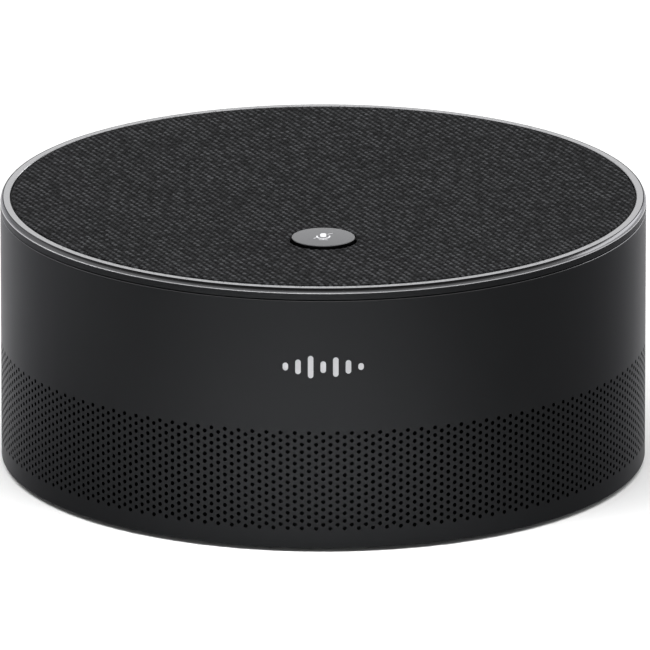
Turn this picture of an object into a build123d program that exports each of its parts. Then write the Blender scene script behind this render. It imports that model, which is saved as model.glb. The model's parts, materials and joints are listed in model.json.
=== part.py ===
from build123d import *
import math
import os

# Conference speakerphone, millimetres, +Z up, front towards -Y, origin on the table under the centre.

# ---- driving sizes -------------------------------------------------------------------------------
BODY_R = 65.0            # outside radius of the round housing
SHELL_Z0 = 0.8           # lower edge of the shell, held off the table by the rubber foot
SEAM_Z = 52.3            # upper edge of the shell
WALL = 1.6               # shell wall
SHELL_BEVEL = 0.3
GAP = 0.1                # assembly clearance between fitted parts

RING_TOP_Z = 54.75
CLOTH_TOP_Z = 55.0
BUTTON_TOP_Z = 55.4
BUTTON_Y = -31.2
BUTTON_R = 6.3
BUTTON_TRAVEL = 0.5

# ---- levels, from the table up ------------------------------------------------------------------
BASE_Z = (0.9, 3.2)
FOOT_TOP_Z = 1.8
FOOT_R = (50.0, 58.0)
FLANGE_Z = (24.8, 26.0)
BAFFLE_Z = (26.4, 28.4)
CHAMBER_TOP_Z = 39.6
LID_Z = (40.0, 41.6)
MAIN_Z = (45.2, 46.8)
MIC_Z = (48.9, 50.1)
EAR_Z = (50.0, 51.6)
PLATE_Z = (52.6, 54.2)

# ---- plan sizes ---------------------------------------------------------------------------------
INNER_R = BODY_R - WALL
BODY_Z = (SHELL_Z0, SEAM_Z)
BASE_R = INNER_R - GAP
CHAMBER_R = 61.5
CHAMBER_WALL = 1.5
BOARD_R = 54.8
PLATE_R = 62.9
RING_BORE_R = 63.0
SPIGOT_R = 61.9
RING_LIP_Z = SEAM_Z + 0.15
RING_BEVEL = (0.4, 1.0)                # in from the edge, and down from the top
BUTTON_WELL_R = 6.7
FOOT_LIP = 0.4
FOOT_SEAT = 0.8                        # room in the foot's back for the screw heads
MESH_R = (INNER_R - 0.2, INNER_R - 0.5)
LABEL_R = 22.0
LABEL_T = 0.1
DIFFUSER_FOOT = (27.0, BASE_Z[1] + 1)
DIFFUSER_WAIST = (8.5, 11.0)
DIFFUSER_TIP = (2.0, 20.0)

SCREW_R = 1.2
PILOT_R = SCREW_R + 0.05
HEAD_R = 2.2
HEAD_H = 1.2
HEAD_SEAT_R = HEAD_R + 0.2
HEAD_SINK = 0.6                        # depth of the recess under a head in the base
BOSS_R = 3.0
CASE_SCREW = 9.0                       # shank lengths
STACK_SCREW = 7.6
RING_SCREW = 8.0
RING_HEAD_H = 0.8

PILLAR_PLACES = (54.0, 6, 30.0)        # radius, count, first angle
LID_SCREW_PLACES = (56.5, 6, 0.0)
POST_PLACES = (58.2, 4, 45.0)
STACK_PLACES = [(sx * 41.6, sy * 24.0) for sx in (-1, 1) for sy in (-1, 1)]
MIC_PLACES = (45.0, 6, 0.0)
LIGHT_PLACES = (18.0, 4, 45.0)
MIC_SIZE = (3.5, 2.65)
MIC_H = 1.0
MIC_HOLE_R = 1.0
MIC_GASKET_R = (1.9, 0.9)
LED_H = 0.6
STATUS_LED = (1.6, 1.6)
BUTTON_LED = (0.8, 1.6)
BUTTON_LED_X = 4.1
PIPE_R = 0.8

MARK_BARS = (1.6, 3.0, 4.6, 2.4, 4.0, 2.8, 1.4)   # heights of the sound-level mark
MARK_PITCH = 2.5
MARK_BAR_W = 1.1
MARK_Z = 38.6
MARK_DEPTH = 0.15

PORT_Z = 43.6
USB_SHELL = (8.94, 7.3, 3.16)
USB_WALL = 0.3
USB_MOUTH_Y = 63.8
USB_BACK = 0.8                         # end wall of the receptacle
USB_TONGUE = (6.7, 5.0, 0.7)
PORT_WINDOW = (14.0, 7.0)
PORT_CORNER = 2.0
BEZEL_Y = (INNER_R - 1.4, BODY_R - 0.25)
LOCK_SLOT = (7.0, 3.0)
LOCK_CORNER = 0.8
LOCK_ANGLE = 24.0                      # from the rear, towards -X
LOCK_PLATE = (13.0, 6.4, 1.5)

# ---- mute button --------------------------------------------------------------------------------
BUTTON_AT = (0, BUTTON_Y)
BUTTON_FILLET = 0.25
CAP_FLANGE_R = 7.2
CAP_FLANGE_Z = (51.8, 52.5)
CAP_BORE_R = 5.3
CAP_ROOF_Z = 54.2
SWITCH_SIZE = (5.2, 5.2)
SWITCH_TOP_Z = 51.7
SWITCH_FLOOR = 0.6
PLUNGER_R = 1.2
PLUNGER_Z = (51.5, 52.7)
ICON_T = 0.05
ICON_CAPSULE = (2.9, 1.3, 0.75)        # height, width, and centre above the cap's centre
ICON_CRADLE_R = (1.45, 1.15)
ICON_STEM = (0.3, 0.8, -1.8)           # width, height, centre
ICON_FOOT = (1.5, 0.3, -2.25)
ICON_SLASH = (0.22, 4.6)
ICON_SLASH_AT = (0.1, 0.2, 0)
ICON_SLASH_LEAN = -52.0

# ---- boards -------------------------------------------------------------------------------------
MAIN_TAB = ((16, 20), (0, 51.0))       # size and place of the tongue that carries the port
PROCESSOR = ((13, 13), (-14, 12), 1.0)                  # size, place, height
SHIELD = ((20, 20), 1.6, 0.2)                           # size, height, sheet
POWER_CHIPS = (((7, 7), (14, 14)), ((5, 5), (24, 6)), ((6, 5), (14, 0)), ((4, 4), (6, 44)))
POWER_CHIP_H = 0.9
CAPACITOR = (3.15, 3.0)                                 # radius, height
CAPACITOR_FIRST = (20, 30)
CAPACITOR_STEP = (8, -9)
BOARD_PLUG = ((14, 3.6), (20, -20), 1.0)                # size, place, height of the lower half
LEAD_PLUG = ((6.0, 4.5), (0, 44.0), 2.6)

# ---- loudspeaker, firing down -------------------------------------------------------------------
LEAD_AT = (0, 33.0)
LEAD_X = 1.25
LEAD_R = 0.5
LEAD_BENDS = (2.6, 1.15)
LEAD_TAG = (27.2, 33.4)                # where a lead meets the tag strip, as (y, z)
GROMMET_R = (3.0, 4.0)
GROMMET_LIP = 0.6
DRIVER_R = 28.5
DRIVER_BORE_R = 25.6
DRIVER_SCREW_PLACES = (27.0, 4, 45.0)
DRIVER_HOLE_R = 0.95
DRIVER_SCREW = (0.8, 3.4, 1.4, 0.8)    # shank radius and length, head radius and height
DRIVER_PILOT_R = DRIVER_SCREW[0] + 0.05
FLANGE_BORE_R = 24.6
BASKET_RIM_R = 25.2
BASKET_T = 0.8
BASKET_FLOOR_Z = (31.5, 32.5)
BASKET_FLOOR_R = 17.0
BASKET_THROAT_R = 11.6
BASKET_WINDOW = ((9.0, 8.0), (27.6, 30.6), (23.0, 0))
TAG_STRIP = ((7.0, 1.6), (32.6, 34.2), (0, 26.4))
TAG_FOOT = ((3.0, 9.0), (32.6, 33.2), (0, 22.0))
POLE_R = 9.5
TOP_PLATE_Z = (32.5, 34.5)
TOP_PLATE_BORE = 10.95
MAGNET_TOP_Z = 37.5
MAGNET_R = 16.0
MAGNET_BORE = 11.8
YOKE_TOP_Z = 39.4
FORMER_R = (9.8, 10.0)
FORMER_Z = (29.3, 35.5)
WINDING_R = 10.45
WINDING_Z = (31.7, 35.3)
CONE_NECK = (10.1, 29.8)
CONE_MOUTH = (21.3, 24.85)
CONE_T = 0.4
CONE_LIP = 1.0
DUST_CAP_RISE = 1.9
DUST_CAP_T = 0.3
GLUE = 0.05                            # line between the moving cone and what it hangs on
SPIDER_R = 16.6
SPIDER_Z = 30.4
SPIDER_T = 0.3
SPIDER_WAVES = 3
SPIDER_WAVE_H = 0.35
SPIDER_LAND_R = 15.6
ROLL_R = 1.5
ROLL_CENTRE_R = 22.9
ROLL_LANDS = (20.3, 25.5)

LOW = (Align.CENTER, Align.CENTER, Align.MIN)


# ---- helpers ------------------------------------------------------------------------------------
def polar(radius, count, first):
    """Points spaced evenly on a circle."""
    angles = [math.radians(first + 360 * i / count) for i in range(count)]
    return [(radius * math.cos(a), radius * math.sin(a)) for a in angles]


def disc(radius, z, at=(0, 0)):
    return Pos(at[0], at[1], z[0]) * Cylinder(radius, z[1] - z[0], align=LOW)


def tube(outer, inner, z, at=(0, 0)):
    return disc(outer, z, at) - disc(inner, z, at)


def block(size, z, at=(0, 0)):
    return Pos(at[0], at[1], z[0]) * Box(size[0], size[1], z[1] - z[0], align=LOW)


def turned(*points):
    """A solid of revolution from an outline of (radius, height) points."""
    return revolve(make_face(Plane.XZ * Polyline(*points, close=True)), Axis.Z)


def many(places, make):
    """One solid at each place, kept apart as a group."""
    return Compound(children=[make(p) for p in places])


def drilled(shape, places, radius, z):
    return shape - [disc(radius, z, p) for p in places]


def screw(at, head_z, length, up=True):
    """A pan-head screw; up means that its head is on top."""
    way = 1 if up else -1
    head = sorted((head_z, head_z + way * HEAD_H))
    shank = sorted((head_z, head_z - way * length))
    return disc(HEAD_R, head, at) + disc(SCREW_R, shank, at)


def save(name, shape):
    export_step(shape, f"parts/{name}.step")


# ---- outer housing ------------------------------------------------------------------------------
def mark_bars():
    """The front mark's bars, as prisms that run through the front wall."""
    first = -(len(MARK_BARS) - 1) / 2
    bars = []
    for i, height in enumerate(MARK_BARS):
        outline = SlotOverall(height, MARK_BAR_W, rotation=90)
        place = Plane.XZ.offset(BODY_R - WALL) * Pos((first + i) * MARK_PITCH, MARK_Z)
        bars.append(extrude(place * outline, 2 * WALL))
    return bars


def port_window():
    outline = RectangleRounded(*PORT_WINDOW, PORT_CORNER)
    return extrude(Plane.XZ.offset(-INNER_R + WALL) * Pos(0, PORT_Z) * outline, -3 * WALL)


def lock_slot():
    outline = RectangleRounded(*LOCK_SLOT, LOCK_CORNER)
    slot = extrude(Plane.XZ.offset(-INNER_R + 2 * WALL) * Pos(0, PORT_Z) * outline, -4 * WALL)
    return Rot(0, 0, LOCK_ANGLE) * slot


def enclosure_shell():
    """One round wall, open at both ends, with a small bevel where it meets the base."""
    wall = turned(
        (BODY_R - SHELL_BEVEL, SHELL_Z0), (BODY_R, SHELL_Z0 + SHELL_BEVEL), (BODY_R, SEAM_Z),
        (INNER_R, SEAM_Z), (INNER_R, SHELL_Z0),
    )
    core = disc(BODY_R - MARK_DEPTH, BODY_Z)
    return wall - [bar - core for bar in mark_bars()] - port_window() - lock_slot()


def front_mark():
    skin = tube(BODY_R, BODY_R - MARK_DEPTH, BODY_Z)
    return Compound(children=[bar & skin for bar in mark_bars()])


def top_trim_ring():
    bevel_in, bevel_down = RING_BEVEL
    ring = turned(
        (BODY_R, RING_LIP_Z), (BODY_R, RING_TOP_Z - bevel_down), (BODY_R - bevel_in, RING_TOP_Z),
        (RING_BORE_R, RING_TOP_Z), (RING_BORE_R, PLATE_Z[0]), (SPIGOT_R, PLATE_Z[0]),
        (SPIGOT_R, EAR_Z[0]), (BASE_R, EAR_Z[0]), (BASE_R, RING_LIP_Z),
    )
    ear_in, ear_out = POST_PLACES[0] - BOSS_R, SPIGOT_R + 0.5
    for i in range(POST_PLACES[1]):
        ear = block((ear_out - ear_in, 2 * BOSS_R), EAR_Z, ((ear_in + ear_out) / 2, 0))
        ring += Rot(0, 0, POST_PLACES[2] + 360 * i / POST_PLACES[1]) * ear
    return drilled(ring, polar(*POST_PLACES), PILOT_R, EAR_Z)


def top_plate():
    plate = disc(PLATE_R, PLATE_Z) - disc(BUTTON_WELL_R, PLATE_Z, (0, BUTTON_Y))
    plate = drilled(plate, mic_places(), MIC_HOLE_R, PLATE_Z)
    return drilled(plate, polar(*LIGHT_PLACES), PIPE_R + GAP / 2, PLATE_Z)


def top_cloth():
    z = (PLATE_Z[1], CLOTH_TOP_Z)
    return disc(PLATE_R, z) - disc(BUTTON_WELL_R, z, (0, BUTTON_Y))


def grille_mesh():
    return tube(*MESH_R, (BASE_Z[1] + GAP, BAFFLE_Z[0] - 2 * GAP))


def base_plate():
    plate = disc(BASE_R, BASE_Z) - tube(*reversed(FOOT_R), (BASE_Z[0], FOOT_TOP_Z))
    places = polar(*PILLAR_PLACES)
    plate = drilled(plate, places, HEAD_SEAT_R, (FOOT_TOP_Z, FOOT_TOP_Z + HEAD_SINK))
    return drilled(plate, places, PILOT_R, BASE_Z)


def foot_ring():
    inner, outer = FOOT_R[0] + GAP, FOOT_R[1] - GAP
    ring = turned(
        (inner + FOOT_LIP, 0), (outer - FOOT_LIP, 0), (outer, FOOT_LIP), (outer, FOOT_TOP_Z),
        (inner, FOOT_TOP_Z), (inner, FOOT_LIP),
    )
    return drilled(ring, polar(*PILLAR_PLACES), HEAD_SEAT_R, (FOOT_TOP_Z - FOOT_SEAT, FOOT_TOP_Z))


def base_screws():
    head_z = FOOT_TOP_Z + HEAD_SINK
    return many(polar(*PILLAR_PLACES), lambda p: screw(p, head_z, CASE_SCREW, up=False))


def underside_label():
    return disc(LABEL_R, (BASE_Z[0] - LABEL_T, BASE_Z[0]))


def diffuser_cone():
    side = ThreePointArc(DIFFUSER_FOOT, DIFFUSER_WAIST, DIFFUSER_TIP)
    corners = (0, DIFFUSER_TIP[1]), (0, BASE_Z[1]), (DIFFUSER_FOOT[0], BASE_Z[1])
    edge = Polyline(DIFFUSER_TIP, *corners, DIFFUSER_FOOT)
    return revolve(make_face(Plane.XZ * (side + edge)), Axis.Z)


# ---- mute button --------------------------------------------------------------------------------
def mute_button_cap():
    crown = disc(BUTTON_R, (CAP_FLANGE_Z[0], BUTTON_TOP_Z), BUTTON_AT)
    crown = fillet(crown.edges().group_by(Axis.Z)[-1], BUTTON_FILLET)
    flange = disc(CAP_FLANGE_R, CAP_FLANGE_Z, BUTTON_AT)
    hollow = disc(CAP_BORE_R, (CAP_FLANGE_Z[0], CAP_ROOF_Z), BUTTON_AT)
    post = disc(PLUNGER_R, (PLUNGER_Z[1], CAP_ROOF_Z), BUTTON_AT)
    return crown + flange - hollow + post


def mute_button_icon():
    """A microphone in its holder with a slash beside it, printed on the cap."""
    capsule = Pos(0, ICON_CAPSULE[2]) * SlotOverall(*ICON_CAPSULE[:2], rotation=90)
    outer_r, inner_r = ICON_CRADLE_R
    above = Pos(0, outer_r) * Rectangle(2 * outer_r, 2 * outer_r)
    cradle = Circle(outer_r) - Circle(inner_r) - above
    stem = Pos(0, ICON_STEM[2]) * Rectangle(*ICON_STEM[:2])
    foot = Pos(0, ICON_FOOT[2]) * Rectangle(*ICON_FOOT[:2])
    slash = Pos(*ICON_SLASH_AT) * Rot(0, 0, ICON_SLASH_LEAN) * Rectangle(*ICON_SLASH)
    print_shape = extrude(capsule + cradle + stem + foot + slash, ICON_T)
    return Pos(0, BUTTON_Y, BUTTON_TOP_Z) * print_shape


def switch_body():
    body = block(SWITCH_SIZE, (MIC_Z[1], SWITCH_TOP_Z), BUTTON_AT)
    return body - disc(PLUNGER_R + GAP, (MIC_Z[1] + SWITCH_FLOOR, SWITCH_TOP_Z), BUTTON_AT)


def switch_plunger():
    return disc(PLUNGER_R, PLUNGER_Z, BUTTON_AT)


def button_leds():
    places = [(x, BUTTON_Y) for x in (-BUTTON_LED_X, BUTTON_LED_X)]
    return many(places, lambda p: block(BUTTON_LED, (MIC_Z[1], MIC_Z[1] + LED_H), p))


# ---- microphone board ---------------------------------------------------------------------------
def mic_places():
    return [(0, 0)] + polar(*MIC_PLACES)


def microphone_board():
    return drilled(disc(BOARD_R, MIC_Z), STACK_PLACES, PILOT_R, MIC_Z)


def microphones():
    return many(mic_places(), lambda p: block(MIC_SIZE, (MIC_Z[1], MIC_Z[1] + MIC_H), p))


def microphone_gaskets():
    z = (MIC_Z[1] + MIC_H, PLATE_Z[0])
    return many(mic_places(), lambda p: tube(*MIC_GASKET_R, z, p))


def status_leds():
    return many(polar(*LIGHT_PLACES), lambda p: block(STATUS_LED, (MIC_Z[1], MIC_Z[1] + LED_H), p))


def light_pipes():
    z = (MIC_Z[1] + LED_H, PLATE_Z[1])
    return many(polar(*LIGHT_PLACES), lambda p: disc(PIPE_R, z, p))


def board_spacers():
    return many(STACK_PLACES, lambda p: tube(BOSS_R, PILOT_R, (MAIN_Z[1], MIC_Z[0]), p))


def board_screws():
    return many(STACK_PLACES, lambda p: screw(p, MIC_Z[1], STACK_SCREW))


def ring_screws():
    def one(place):
        head = disc(HEAD_R, (EAR_Z[1], EAR_Z[1] + RING_HEAD_H), place)
        return head + disc(SCREW_R, (EAR_Z[1] - RING_SCREW, EAR_Z[1]), place)
    return many(polar(*POST_PLACES), one)


# ---- main board ---------------------------------------------------------------------------------
def main_board():
    tab = block(MAIN_TAB[0], MAIN_Z, MAIN_TAB[1])
    return drilled(disc(BOARD_R, MAIN_Z) + tab, STACK_PLACES, PILOT_R, MAIN_Z)


def processor():
    size, place, height = PROCESSOR
    return block(size, (MAIN_Z[1], MAIN_Z[1] + height), place)


def shield_can():
    (width, depth), height, sheet = SHIELD
    outer = block((width, depth), (MAIN_Z[1], MAIN_Z[1] + height), PROCESSOR[1])
    inner = (width - 2 * sheet, depth - 2 * sheet)
    return outer - block(inner, (MAIN_Z[1], MAIN_Z[1] + height - sheet), PROCESSOR[1])


def power_chips():
    z = (MAIN_Z[1], MAIN_Z[1] + POWER_CHIP_H)
    return Compound(children=[block(size, z, at) for size, at in POWER_CHIPS])


def capacitors():
    radius, height = CAPACITOR
    (x, y), (dx, dy) = CAPACITOR_FIRST, CAPACITOR_STEP
    places = [(side * (x + dx * i), y + dy * i) for side in (-1, 1) for i in range(3)]
    return many(places, lambda p: disc(radius, (MAIN_Z[0] - height, MAIN_Z[0]), p))


def board_header():
    size, place, height = BOARD_PLUG
    return block(size, (MAIN_Z[1], MAIN_Z[1] + height), place)


def board_socket():
    size, place, height = BOARD_PLUG
    return block(size, (MAIN_Z[1] + height, MIC_Z[0]), place)


def usb_outline(shrink):
    width, height = USB_SHELL[0] - 2 * shrink, USB_SHELL[2] - 2 * shrink
    return Pos(0, PORT_Z) * SlotOverall(width, height)


def usb_receptacle_shell():
    """A USB-C receptacle's drawn steel shell, open at the rear of the housing."""
    outer = extrude(Plane.XZ.offset(-USB_MOUTH_Y) * usb_outline(0), USB_SHELL[1])
    bore = extrude(Plane.XZ.offset(-USB_MOUTH_Y) * usb_outline(USB_WALL), USB_SHELL[1] - USB_BACK)
    return outer - bore


def usb_receptacle_tongue():
    width, length, height = USB_TONGUE
    back = USB_MOUTH_Y - USB_SHELL[1] + USB_BACK
    return block((width, length), (PORT_Z - height / 2, PORT_Z + height / 2), (0, back + length / 2))


def port_bezel():
    """The plate round the port: it fills the window and stops just below the outside."""
    fill = RectangleRounded(*[side - 2 * GAP for side in PORT_WINDOW], PORT_CORNER - GAP)
    plate = extrude(Plane.XZ.offset(-BEZEL_Y[1]) * Pos(0, PORT_Z) * fill, BEZEL_Y[1] - BEZEL_Y[0])
    mouth = extrude(Plane.XZ.offset(-BODY_R) * usb_outline(-1.5 * GAP), 4 * WALL)
    return plate - mouth


def lock_slot_plate():
    """The steel plate behind the lock slot."""
    width, height, thickness = LOCK_PLATE
    face = Pos(0, PORT_Z) * RectangleRounded(width, height, LOCK_CORNER)
    plate = extrude(Plane.XZ.offset(-INNER_R + 4 * GAP) * face, thickness)
    return Rot(0, 0, LOCK_ANGLE) * plate - lock_slot()


# ---- speaker chamber ----------------------------------------------------------------------------
def speaker_chamber():
    """The sealed cup behind the driver, on pillars that stand on the base."""
    cup = disc(CHAMBER_R, (BAFFLE_Z[0], CHAMBER_TOP_Z))
    cup -= disc(CHAMBER_R - CHAMBER_WALL, (BAFFLE_Z[1], CHAMBER_TOP_Z))
    cup -= disc(DRIVER_BORE_R, BAFFLE_Z)
    for place in polar(*LID_SCREW_PLACES):
        cup += disc(BOSS_R + 0.8, (BAFFLE_Z[1] - 0.5, CHAMBER_TOP_Z), place)
    for place in polar(*PILLAR_PLACES):
        cup += disc(BOSS_R, (BASE_Z[1], BAFFLE_Z[0] + 0.5), place)
    cup = drilled(cup, polar(*LID_SCREW_PLACES), PILOT_R, (CHAMBER_TOP_Z - CASE_SCREW, CHAMBER_TOP_Z))
    cup = drilled(cup, polar(*PILLAR_PLACES), PILOT_R, (BASE_Z[1], BASE_Z[1] + CASE_SCREW))
    return drilled(cup, polar(*DRIVER_SCREW_PLACES), DRIVER_PILOT_R, BAFFLE_Z)


def chamber_gasket():
    z = (CHAMBER_TOP_Z, LID_Z[0])
    return drilled(tube(CHAMBER_R, CHAMBER_R - CHAMBER_WALL, z), polar(*LID_SCREW_PLACES), BOSS_R, z)


def chamber_lid():
    lid = disc(CHAMBER_R, LID_Z)
    for place in STACK_PLACES:
        lid += disc(BOSS_R, (LID_Z[0], MAIN_Z[0]), place)
    for place in polar(*POST_PLACES):
        lid += disc(BOSS_R, (LID_Z[0], EAR_Z[0]), place)
    lid = drilled(lid, STACK_PLACES, PILOT_R, (LID_Z[1], MAIN_Z[0]))
    lid = drilled(lid, polar(*POST_PLACES), PILOT_R, (EAR_Z[0] - RING_SCREW, EAR_Z[0]))
    lid = drilled(lid, polar(*LID_SCREW_PLACES), PILOT_R, LID_Z)
    return lid - disc(GROMMET_R[0], LID_Z, LEAD_AT)


def chamber_screws():
    return many(polar(*LID_SCREW_PLACES), lambda p: screw(p, LID_Z[1], CASE_SCREW))


def lead_grommet():
    """A rubber bush that seals the two leads where they pass through the lid."""
    lip_z = LID_Z[1] + GROMMET_LIP
    bush = disc(GROMMET_R[0], LID_Z, LEAD_AT) + disc(GROMMET_R[1], (LID_Z[1], lip_z), LEAD_AT)
    places = [(x, LEAD_AT[1]) for x in (-LEAD_X, LEAD_X)]
    return drilled(bush, places, LEAD_R + GAP / 2, (LID_Z[0], lip_z))


def speaker_connector():
    size, place, height = LEAD_PLUG
    return block(size, (MAIN_Z[0] - height, MAIN_Z[0]), place)


def lead(x):
    """One lead: from the driver's tag, up through the bush, and level into the board's connector."""
    size, place, height = LEAD_PLUG
    plug_y, plug_z = place[1] - size[1] / 2, MAIN_Z[0] - height / 2
    tag_y, tag_z = LEAD_TAG
    y = LEAD_AT[1]
    route = [(x, tag_y, tag_z), (x, y, tag_z), (x, y, plug_z), (x, plug_y, plug_z)]
    path = FilletPolyline(*route, radius=list(LEAD_BENDS))
    section = Plane(path @ 0, z_dir=path % 0) * Circle(LEAD_R)
    return sweep(section, path=path)


def speaker_leads():
    return Compound(children=[lead(x) for x in (-LEAD_X, LEAD_X)])


# ---- loudspeaker --------------------------------------------------------------------------------
def driver_gasket():
    z = (FLANGE_Z[1], BAFFLE_Z[0])
    return drilled(tube(DRIVER_R, DRIVER_BORE_R, z), polar(*DRIVER_SCREW_PLACES), DRIVER_HOLE_R, z)


def driver_basket():
    """A pressed frame: a flange, a sloping wall with windows, a floor, and the spider's landing."""
    basket = turned(
        (FLANGE_BORE_R, FLANGE_Z[0]), (DRIVER_R, FLANGE_Z[0]), (DRIVER_R, FLANGE_Z[1]),
        (BASKET_RIM_R, FLANGE_Z[1]), (BASKET_FLOOR_R + 1.5, BASKET_FLOOR_Z[1]),
        (BASKET_THROAT_R, BASKET_FLOOR_Z[1]), (BASKET_THROAT_R, BASKET_FLOOR_Z[0]),
        (BASKET_FLOOR_R + BASKET_T, BASKET_FLOOR_Z[0]),
    )
    landing_z = SPIDER_Z + SPIDER_T + GLUE
    basket += tube(SPIDER_R + 1, SPIDER_LAND_R, (landing_z, BASKET_FLOOR_Z[0]))
    for i in range(6):
        basket -= Rot(0, 0, 30 + 60 * i) * block(*BASKET_WINDOW)
    return drilled(basket, polar(*DRIVER_SCREW_PLACES), DRIVER_HOLE_R, FLANGE_Z)


def driver_screws():
    radius, length, head_r, head_h = DRIVER_SCREW

    def one(place):
        head = disc(head_r, (FLANGE_Z[0] - head_h, FLANGE_Z[0]), place)
        return head + disc(radius, (FLANGE_Z[0], FLANGE_Z[0] + length), place)
    return many(polar(*DRIVER_SCREW_PLACES), one)


def driver_terminals():
    """The tag strip on the basket's side that the leads are soldered to."""
    return block(*TAG_STRIP) + block(*TAG_FOOT)


def driver_top_plate():
    return tube(MAGNET_R, TOP_PLATE_BORE, TOP_PLATE_Z)


def driver_magnet():
    return tube(MAGNET_R, MAGNET_BORE, (TOP_PLATE_Z[1], MAGNET_TOP_Z))


def driver_yoke():
    return disc(MAGNET_R, (MAGNET_TOP_Z, YOKE_TOP_Z)) + disc(POLE_R, (TOP_PLATE_Z[0], MAGNET_TOP_Z))


def voice_coil_former():
    return tube(FORMER_R[1], FORMER_R[0], FORMER_Z)


def voice_coil_winding():
    return tube(WINDING_R, FORMER_R[1], WINDING_Z)


def speaker_cone():
    (neck_r, neck_z), (mouth_r, mouth_z) = CONE_NECK, CONE_MOUTH
    return turned(
        (neck_r, neck_z), (mouth_r - CONE_LIP, mouth_z + CONE_T), (mouth_r, mouth_z + CONE_T),
        (mouth_r, mouth_z), (mouth_r - CONE_LIP - CONE_T / 2, mouth_z), (neck_r, neck_z - CONE_T),
    )


def dust_cap():
    edge_r, edge_z, t = FORMER_R[1], FORMER_Z[0] - GLUE, DUST_CAP_T
    low_z = edge_z - DUST_CAP_RISE
    outer = Spline((edge_r, edge_z), (0, low_z), tangents=[(0, -1), (-1, 0)])
    inner = Spline((edge_r - t, edge_z), (0, low_z + t), tangents=[(0, -1), (-1, 0)])
    ends = [Line((edge_r, edge_z), (edge_r - t, edge_z)), Line((0, low_z), (0, low_z + t))]
    return revolve(make_face(Plane.XZ * Curve(children=[outer, inner, *ends])), Axis.Z)


def spider():
    """The corrugated cloth disc that centres the coil, with a flat rim glued to its landing."""
    inner_r, steps = FORMER_R[1] + GLUE, 8 * SPIDER_WAVES
    wave_r = SPIDER_LAND_R - inner_r
    line = []
    for i in range(steps + 1):
        swing = math.sin(2 * math.pi * SPIDER_WAVES * i / steps)
        line.append((inner_r + wave_r * i / steps, SPIDER_Z + SPIDER_WAVE_H * swing))
    line.append((SPIDER_R, SPIDER_Z))
    return turned(*line, *[(r, z + SPIDER_T) for r, z in reversed(line)])


def cone_surround():
    """The rubber half-roll between the cone's edge and the flange."""
    t, (land_in, land_out) = CONE_T, ROLL_LANDS
    top_z = CONE_MOUTH[1] - GLUE
    z = top_z - t
    inner_r, outer_r = ROLL_CENTRE_R - ROLL_R, ROLL_CENTRE_R + ROLL_R
    outline = [
        Line((land_in, z), (inner_r - t, z)),
        ThreePointArc((inner_r - t, z), (ROLL_CENTRE_R, z - ROLL_R - t), (outer_r + t, z)),
        Line((outer_r + t, z), (land_out, z)),
        Line((land_out, z), (land_out, top_z)),
        Line((land_out, top_z), (outer_r, top_z)),
        ThreePointArc((outer_r, top_z), (ROLL_CENTRE_R, top_z - ROLL_R), (inner_r, top_z)),
        Line((inner_r, top_z), (land_in, top_z)),
        Line((land_in, top_z), (land_in, z)),
    ]
    return revolve(make_face(Plane.XZ * Curve(children=outline)), Axis.Z)


SUB_PARTS = (
    enclosure_shell, front_mark, top_trim_ring, top_plate, top_cloth, grille_mesh, base_plate,
    foot_ring, base_screws, underside_label, diffuser_cone, mute_button_cap, mute_button_icon,
    switch_body, switch_plunger, button_leds, microphone_board, microphones, microphone_gaskets,
    status_leds, light_pipes, board_spacers, board_screws, ring_screws, main_board, processor,
    shield_can, power_chips, capacitors, board_header, board_socket, usb_receptacle_shell,
    usb_receptacle_tongue, port_bezel, lock_slot_plate, speaker_chamber, chamber_gasket,
    chamber_lid, chamber_screws, lead_grommet, speaker_connector, speaker_leads, driver_gasket,
    driver_basket, driver_screws, driver_terminals, driver_top_plate, driver_magnet, driver_yoke,
    voice_coil_former, voice_coil_winding, speaker_cone, dust_cap, spider, cone_surround,
)

os.makedirs("parts", exist_ok=True)
for make in SUB_PARTS:
    save(make.__name__, make())
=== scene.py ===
import json
import math

import bmesh
import bpy
import numpy as np
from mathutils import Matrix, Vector


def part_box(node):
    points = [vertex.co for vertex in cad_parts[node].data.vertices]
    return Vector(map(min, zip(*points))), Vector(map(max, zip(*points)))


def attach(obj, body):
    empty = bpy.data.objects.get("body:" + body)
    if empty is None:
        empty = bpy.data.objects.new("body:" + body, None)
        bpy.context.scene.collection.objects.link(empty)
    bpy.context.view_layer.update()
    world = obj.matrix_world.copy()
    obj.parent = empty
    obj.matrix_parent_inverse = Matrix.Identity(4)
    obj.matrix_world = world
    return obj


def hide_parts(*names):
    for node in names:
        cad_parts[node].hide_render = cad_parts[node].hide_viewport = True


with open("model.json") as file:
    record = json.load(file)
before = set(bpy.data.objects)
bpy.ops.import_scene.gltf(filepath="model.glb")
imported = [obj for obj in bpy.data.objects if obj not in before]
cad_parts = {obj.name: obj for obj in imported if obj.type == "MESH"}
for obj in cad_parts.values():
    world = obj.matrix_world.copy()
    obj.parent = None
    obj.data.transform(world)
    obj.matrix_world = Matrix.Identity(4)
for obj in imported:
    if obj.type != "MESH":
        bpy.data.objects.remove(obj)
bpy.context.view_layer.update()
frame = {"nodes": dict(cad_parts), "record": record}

MM = 0.001

# ---- what the frame gives --------
SHELL_LO, SHELL_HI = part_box("enclosure_shell")
RING_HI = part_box("top_trim_ring")[1]
CLOTH_LO, CLOTH_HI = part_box("top_cloth")
CAP_LO, CAP_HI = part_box("mute_button_cap")
MARK_LO, MARK_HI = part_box("front_mark")
PORT_LO, PORT_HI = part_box("port_bezel")
LOCK_LO, LOCK_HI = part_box("lock_slot_plate")

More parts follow.
